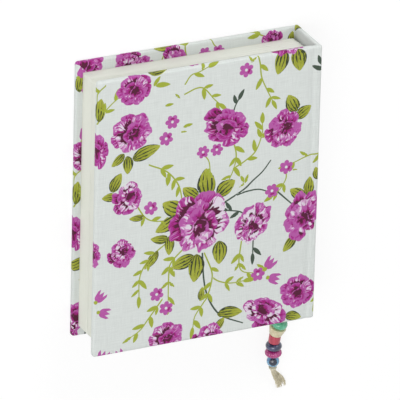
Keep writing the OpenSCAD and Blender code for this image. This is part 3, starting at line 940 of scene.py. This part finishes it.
def lean(piece):
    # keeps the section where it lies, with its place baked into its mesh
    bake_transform(piece)


def markPages(mesh):
    # the ruling follows the leaves as they lean, so it reads where they lay at rest
    points, normals = np.empty(len(mesh.vertices) * 3, np.float32), np.empty(len(mesh.polygons) * 3, np.float32)
    mesh.vertices.foreach_get("co", points)
    mesh.polygons.foreach_get("normal", normals)
    isPage = (abs(normals[2::3]) > 0.8).astype(np.float32)
    mesh.attributes.new("pagePlace", "FLOAT_VECTOR", "POINT").data.foreach_set("vector", points)
    mesh.attributes.new("pageFace", "FLOAT", "FACE").data.foreach_set("value", isPage)


def makeSections(block):
    tree = foldedLeavesTree()
    half, ragged = block["sectionThick"] / 2, block["ragged"]
    for i in range(1, block["sections"] + 1):
        back = block["back"] + block["rounding"][fromCover(block, i) - 1]
        lengths = {
            "Fore Edge": block["foreEdge"] + ragged, "Fold Centre": back - half, "Middle": sectionLow(block, i) + half,
            "Height": block["height"] - 2 * ragged, "Pitch": half / block["folios"], "Leaf": block["leaf"],
            "Ragged": ragged, "Lift Top": block["foldLift" if i == innermost else "gapLift"],
            "Lift Bottom": block["foldLift" if i == innermost + 1 else "gapLift"]}
        piece = growPiece("leaves_%d" % i, tree, pagePaper, lengths, smooth=False,
                          Folios=block["folios"], Seed=block["seed"] + i)
        markPages(piece.data)
        standFor(piece, "section_%d" % i)
        if i in (1, block["sections"]):
            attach(piece, coverOf(i))
        else:
            lean(piece)


def makeStitches(block):
    for i in range(2, block["sections"]):
        form = bmesh.new()
        form.from_mesh(cadNodes["thread_%d" % i].data)
        bmesh.ops.remove_doubles(form, verts=form.verts, dist=1e-6)
        mesh = bpy.data.meshes.new("thread_%d_sewn" % i)
        form.to_mesh(mesh)
        form.free()
        piece = addPiece(mesh.name, mesh, sewingThread)
        standFor(piece, "thread_%d" % i)
        lean(piece)


makeSections(block)
makeStitches(block)
print("sections made")


# the bookmark: its cord, beads, neck and frayed end

marker = dict(
    route=[
        (49, -64.7, 13.5), (49, -66.5, 13.4), (49, -69, 12.8), (49, -72, 11.7), (48.9, -75, 10.4), (48.6, -78, 9),
        (48.1, -81, 7.8), (47.6, -84, 6.8), (47.3, -87, 6), (47.2, -90, 5.4), (47.2, -93, 5), (47.3, -96, 4.7),
        (47.4, -99, 4.4), (47.5, -102, 4), (47.8, -105, 3.5), (48.2, -107, 3.1)],
    frayRoute=[(48.2, -107, 3.1), (49.4, -109, 2.3), (50.9, -111.2, 1.6), (52.4, -113.6, 1.2), (53.4, -115.8, 1.1),
               (54, -118, 1)],
    strip=[(52.4, 54), (51.4, 50), (49.9, 45.5), (49.2, 42), (49, 38), (49, 10), (49, -20), (49, -50), (49, -64)],
    foldZ=13.5, plies=3, plyShare=0.27, cordWide=1.5, cordLay=4.2, cordStep=0.3, cordPoints=60, intoNeck=0.6,
    pressed=3.2, stripWide=2.4, stripThick=0.4, stripLay=6.5, stripStep=0.5,
    # lengths along the cord in order, after its free lead
    lead=14.2, gap=0.25, bore=1.0, beads=dict(green=3.9, cream=4.6, red=4.5, navy=3.7, magenta=3.4, blue=5.8, knot=2.6),
    greenWide=8.0, navyWide=7.9, magentaWide=8.2, blueRadius=3.05, redRadius=2.85,
    cream=[(3.95, 0), (4.15, 0.5), (3.1, 4.3), (2.95, 4.6)], flutes=18, fluteDepth=0.32, fluteStart=2.0, fluteRamp=1.6,
    neckTurns=6.0, neckShort=0.62, neckClear=0.04, neck={"Start": 1.84, "End": 0.98, "Thread": 0.26},
    strands=150, strandPoints=22, frayStep=0.4, fraySeed=11,
    fray={"Neck": 0.8, "Spread": 2.7, "Loft": 0.55, "Strand": 0.11, "Floor": 0.12})

route = np.array(marker["route"], float)
routeRun = runAlong(route)


def onRoute(s):
    return np.array([np.interp(s, routeRun, column) for column in route.T])


spans, reached = {}, marker["lead"]
for beadName, beadLong in marker["beads"].items():
    spans[beadName] = (reached, reached + beadLong)
    reached += beadLong + marker["gap"]


def twistedCordTree():
    tree, given, out = geometryTree("twistedCord", ["Reach", "Ply", "Lay", "Step"], ["Plies"])
    line = geo(tree, "ResampleCurve", {"Curve": given["Geometry"], "Length": given["Step"]}, mode="LENGTH")
    copies, number = copiesOf(tree, geo(tree, "SetCurveNormal", {"Curve": line}, mode="Z_UP"), given["Plies"])
    run = geo(tree, "SplineParameter", out="Length")
    turn = (number / given["Plies"] + run / given["Lay"]) * (2 * math.pi)
    normal = geo(tree, "InputNormal")
    across = shader(tree, "VectorMath", {0: geo(tree, "InputTangent"), 1: normal}, operation="CROSS_PRODUCT")
    first, second = (
        shader(tree, "VectorMath", {0: way, "Scale": share * given["Reach"]}, operation="SCALE")
        for way, share in ((normal, turn.cos()), (across, turn.sin())))
    wound = moved(tree, copies, Offset=shader(tree, "VectorMath", {0: first, 1: second}, operation="ADD"))
    return closeTree(tree, given, out, tubeAlong(tree, wound, given["Ply"], sides=8))


def frayTree():
    tree, given, out = geometryTree("frayedStrands", ["Neck", "Spread", "Loft", "Strand", "Floor"], ["Strands", "Seed"])
    line = geo(tree, "ResampleCurve", {"Curve": given["Geometry"], "Count": marker["strandPoints"]}, mode="COUNT")
    copies, number = copiesOf(tree, line, given["Strands"])
    along = geo(tree, "SplineParameter", out="Factor")

    def chance(low, high, shift):
        return randomIn(low, high, number + shift, given["Seed"])

    sideways, upwards = chance(-1.0, 1.0, 0.0), chance(-1.0, 1.0, 100.0)
    wave, pace = chance(0.0, 6.3, 200.0), chance(3.0, 8.0, 300.0)
    wide = (along ** 0.7) * (given["Spread"] - given["Neck"]) + given["Neck"]
    tall = along.rest() * (given["Neck"] - given["Loft"]) + given["Loft"]
    tangent = parts(geo(tree, "InputTangent"))
    apart = sideways * wide + (along * pace + wave).sin() * along * given["Loft"] * 0.8
    lift = upwards * tall + (along * pace * 0.8 + wave * 1.7).sin() * along * given["Loft"] * 0.5
    spread = moved(tree, copies, Offset=vectorOf(tangent[1] * apart, tangent[0] * -1.0 * apart, lift))
    px, py, pz = parts(geo(tree, "InputPosition"))
    rested = moved(tree, spread, Position=vectorOf(px, py, pz.most(given["Floor"])))
    cut = geo(tree, "TrimCurve", {"Curve": rested, "End": chance(0.62, 1.0, 400.0)}, mode="FACTOR")
    return closeTree(tree, given, out, tubeAlong(tree, cut, given["Strand"], sides=5))


def windingTree():
    tree, given, out = geometryTree("whippedNeck", ["Turns", "Start", "End", "Length", "Thread"])
    coil = geo(tree, "CurveSpiral", {
        "Resolution": 20, "Rotations": given["Turns"], "Start Radius": given["Start"], "End Radius": given["End"],
        "Height": given["Length"]})
    thread = tubeAlong(tree, coil, given["Thread"], sides=8)
    return closeTree(tree, given, out, joined(tree, given["Geometry"], thread))


cordTree = twistedCordTree()


def twisted(name, line, wide, lay, step):
    ply = wide * marker["plyShare"]
    lengths = {"Reach": wide / 2 - ply, "Ply": ply, "Lay": lay, "Step": step}
    piece = growPiece(name, cordTree, hempTwine, lengths, line, Plies=marker["plies"])
    return piece, np.array([v.co for v in piece.data.vertices]) / mm


def reshape(piece, points):
    piece.data.vertices.foreach_set("co", (points * mm).astype(np.float32).ravel())


def makeCord(marker):
    # round and twisted through the beads, pressed flat where it leaves the leaves
    wide, end = marker["cordWide"], spans["knot"][0] + marker["intoNeck"]
    path = np.array([onRoute(s) for s in np.linspace(0, end, marker["cordPoints"])])
    piece, co = twisted("bookmark_cord", path, wide, marker["cordLay"], marker["cordStep"])
    press = ease(np.clip(route[0, 1] - co[:, 1], 0, marker["pressed"]) / marker["pressed"])
    for axis, size in ((0, marker["stripWide"]), (2, marker["stripThick"])):
        middle = np.interp(-co[:, 1], -route[:, 1], route[:, axis])
        co[:, axis] = middle + (co[:, axis] - middle) * (size / wide + (1 - size / wide) * press)
    reshape(piece, co)
    return standFor(piece, "bookmark_tail", "bookmark"), path, end


def makeStrip(marker):
    flat = marker["foldZ"]
    line, _ = smoothLine([(x, y, flat) for x, y in marker["strip"]], marker["stripStep"])
    piece, co = twisted("bookmark_strip_pressed", line, marker["stripWide"], marker["stripLay"], marker["stripStep"])
    co[:, 2] = flat + (co[:, 2] - flat) * marker["stripThick"] / marker["stripWide"]
    reshape(piece, co)
    standFor(piece, "bookmark_strip", "leaves_5")


def axisOf(name):
    a, b = (onRoute(s) for s in spans[name])
    turn = Vector(b - a).to_track_quat("Z", "Y").to_matrix().to_4x4()
    return Matrix.Translation(Vector(a) * mm) @ turn, float(np.linalg.norm(b - a))


def turnedMesh(name, outline, segments=56, flutes=0):
    # outline is a closed loop of radius and height, in mm
    loop = np.array(outline, float)
    count, points = len(loop), []
    for a in np.linspace(0, 2 * math.pi, segments, endpoint=False):
        reach = loop[:, 0].copy()
        if flutes:
            outerShare = np.clip((reach - marker["fluteStart"]) / marker["fluteRamp"], 0, 1)
            reach -= marker["fluteDepth"] * outerShare * (1 - abs(math.sin(a * flutes / 2)) ** 0.7)
        points += [(r * math.cos(a) * mm, r * math.sin(a) * mm, z * mm) for r, z in zip(reach, loop[:, 1])]
    faces = []
    for i in range(segments):
        here, there = i * count, (i + 1) % segments * count
        for k in range(count):
            m = (k + 1) % count
            faces.append((here + k, there + k, there + m, here + m))
    mesh = bpy.data.meshes.new(name)
    mesh.from_pydata(points, [], faces)
    shade(mesh)
    return mesh


def roundCorners(corners, radius, steps=5):
    # each corner of a closed outline becomes a short curve
    corners, rounded = np.array(corners, float), []
    for before, here, after in zip(np.roll(corners, 1, 0), corners, np.roll(corners, -1, 0)):
        a, b = before - here, after - here
        longA, longB = np.linalg.norm(a), np.linalg.norm(b)
        r = min(radius, 0.45 * longA, 0.45 * longB)
        p, q = here + a / longA * r, here + b / longB * r
        rounded += [(1 - t) ** 2 * p + 2 * t * (1 - t) * here + t ** 2 * q for t in np.linspace(0, 1, steps)]
    return rounded


def discOutline(wide, long, bore):
    # a bead with a full round rim and slightly sunk faces
    half, quarter = long / 2, math.pi / 2
    flat = wide / 2 - half
    rim = [(flat + half * math.cos(a), half + half * math.sin(a)) for a in np.linspace(-quarter, quarter, 15)]
    face = flat * 0.4 + bore * 0.6
    return [(bore, 0.25), (face, 0.06), *rim, (face, long - 0.06), (bore, long - 0.25), (bore, half)]


def glazeGroup():
    # mottling of a hand-made bead: lighter and darker clouds, and tiny pits
    tree, given, out = makeGroup("handGlaze", "ShaderNodeTree", {"Vector": "Vector", "Scale": "Float"},
                                 {"Cloud": "Float", "Pits": "Float"})
    fine = noise(given["Vector"], given["Scale"] * 5.0, 1.0)
    return closeGroup(tree, out, Cloud=noise(given["Vector"], given["Scale"], 2.0, 0.6), Pits=fine.rise(0.28, 0.36))


glaze = glazeGroup()


def beadMaterial(name, light, dark, roughness, shine, scale):
    material, tree = newMaterial(name)
    mottled = useGroup(tree, glaze, {"Vector": objectPoint(tree), "Scale": scale})
    return coat(material, {
        "Base Color": mixColor(mottled["Cloud"].rise(0.35, 0.65), dark, light),
        "Roughness": mottled["Cloud"] * 0.12 + roughness, "Coat Weight": shine, "Coat Roughness": 0.08,
        "Normal": bumpOf(mottled["Pits"], 0.12, 0.00008)})


def woodMaterial(name, light, dark, roughness):
    material, tree = newMaterial(name)
    grain = grainOf(objectPoint(tree), (900, 110, 900), 3.0, 0.6)
    pore = grainOf(objectPoint(tree), (4200, 300, 4200))
    color = mixColor(grain.rise(0.32, 0.68), dark, light)
    return coat(material, {
        "Base Color": shaded(color, pore - 0.5, 0.12), "Roughness": grain * 0.15 + roughness, "Coat Weight": 0.2,
        "Coat Roughness": 0.25, "Normal": bumpOf(grain, 0.08, 0.00005)})


def streakedMaterial(name, color, streak, place):
    # fine light rays round the bead's own axis
    material, tree = newMaterial(name)
    inverse = place.inverted()
    x, y, _ = parts(shader(tree, "Mapping", {
        "Vector": objectPoint(tree), "Rotation": inverse.to_euler(), "Location": inverse.to_translation()},
        vector_type="POINT"))
    reach = (x * x + y * y + 1e-12).sqrt()
    ray = noise(vectorOf(x / reach * 7.0, y / reach * 7.0, reach * 120.0))
    return coat(material, {"Base Color": mixColor(ray.rise(0.52, 0.72), color, streak), "Roughness": ray * 0.15 + 0.16,
                           "Coat Weight": 0.5, "Coat Roughness": 0.06})


def glassMaterial(name, middle, light, deep, dark):
    # lampwork glass with three dark dots set round it
    material, tree = newMaterial(name)
    cloud = useGroup(tree, glaze, {"Vector": objectPoint(tree), "Scale": 330.0})["Cloud"]
    color = mixColor(cloud.rise(0.36, 0.56), deep, light)
    away = shader(tree, "VectorMath", {0: objectPoint(tree), 1: tuple(middle)}, operation="SUBTRACT")
    away = shader(tree, "VectorMath", {0: away}, operation="NORMALIZE")
    for dot in ((-0.41, 0.2, 0.9), (0.98, 0.2, -0.1), (-0.57, 0.2, -0.8)):
        near = shader(tree, "VectorMath", {0: away, 1: dot}, "Value", operation="DOT_PRODUCT")
        color = mixColor((near + (cloud - 0.5) * 0.2).rise(0.74, 0.84), color, dark)
    return coat(material, {"Base Color": color, "Roughness": 0.06, "Transmission Weight": 0.15, "IOR": 1.5,
                           "Coat Weight": 0.6, "Coat Roughness": 0.03})


def makeBeads(marker):
    bore, long, made = marker["bore"], marker["beads"], []

    def add(name, outline, material, **turning):
        mesh = turnedMesh("bead_" + name, outline, **turning)
        mesh.transform(axisOf(name)[0])
        piece = addPiece("bead_%s_turned" % name, mesh, material)
        made.append(standFor(piece, "bead_" + name, "bookmark"))

    def disc(name):
        return discOutline(marker[name + "Wide"], long[name], bore)

    add("green", disc("green"), beadMaterial("greenGlaze", rgb(110, 202, 164), rgb(80, 176, 132),
                                             roughness=0.16, shine=0.5, scale=420.0))
    cone = [(bore, 0), *marker["cream"], (bore, long["cream"])]
    add("cream", roundCorners(cone, 0.4), woodMaterial("creamWood", rgb(228, 220, 186), rgb(212, 200, 160), 0.36))
    wide = marker["redRadius"]
    barrel = [(bore, 0), (wide, 0), (wide, long["red"]), (bore, long["red"])]
    add("red", roundCorners(barrel, 0.42), woodMaterial("redWood", rgb(198, 77, 95), rgb(178, 57, 79), 0.3))
    add("navy", disc("navy"), beadMaterial("navyPolish", rgb(64, 70, 108), rgb(38, 42, 76),
                                           roughness=0.12, shine=0.7, scale=380.0))
    rays = streakedMaterial("magentaPolish", rgb(172, 40, 119), rgb(198, 86, 154), axisOf("magenta")[0])
    add("magenta", disc("magenta"), rays, segments=108, flutes=marker["flutes"])
    place, chord = axisOf("blue")
    radius = marker["blueRadius"]
    ball = [(radius * math.cos(a), chord / 2 + radius * math.sin(a)) for a in np.linspace(-1.2, 1.2, 21)]
    glass = glassMaterial("blueGlass", place @ Vector((0, 0, chord / 2 * mm)),
                          rgb(118, 182, 220), rgb(56, 104, 164), rgb(28, 40, 66))
    add("blue", [(bore, 0.25), *ball, (bore, chord - 0.25), (bore, chord / 2)], glass)
    return made


def makeNeck(marker):
    place, long = axisOf("knot")
    outline = [(0.001, 0.02), (1.5, 0.02), (1.75, 0.3), (0.95, long - 0.1), (0.001, long - 0.1)]
    core = addPiece("neck_base", turnedMesh("neckCore", outline, 24), hempTwine)
    lengths = {**marker["neck"], "Length": long - marker["neckShort"]}
    mesh = grow(core, windingTree(), hempTwine, lengths, Turns=marker["neckTurns"])
    low = min(v.co.z for v in mesh.vertices)
    mesh.transform(Matrix.Translation((0, 0, marker["neckClear"] * mm - min(low, 0))))
    mesh.transform(place)
    shade(mesh)
    return standFor(addPiece("cord_neck_whipped", mesh, hempTwine), "cord_knot", "bookmark")


def makeFray(marker):
    line, _ = smoothLine(marker["frayRoute"], marker["frayStep"])
    piece = growPiece("cord_frayed_end", frayTree(), hempTwine, marker["fray"], line,
                      Strands=marker["strands"], Seed=marker["fraySeed"])
    return standFor(piece, "cord_tassel", "bookmark")


cord, cordPath, cordLength = makeCord(marker)
makeStrip(marker)
beads = makeBeads(marker)
neck = makeNeck(marker)
fray = makeFray(marker)
print("bookmark made")
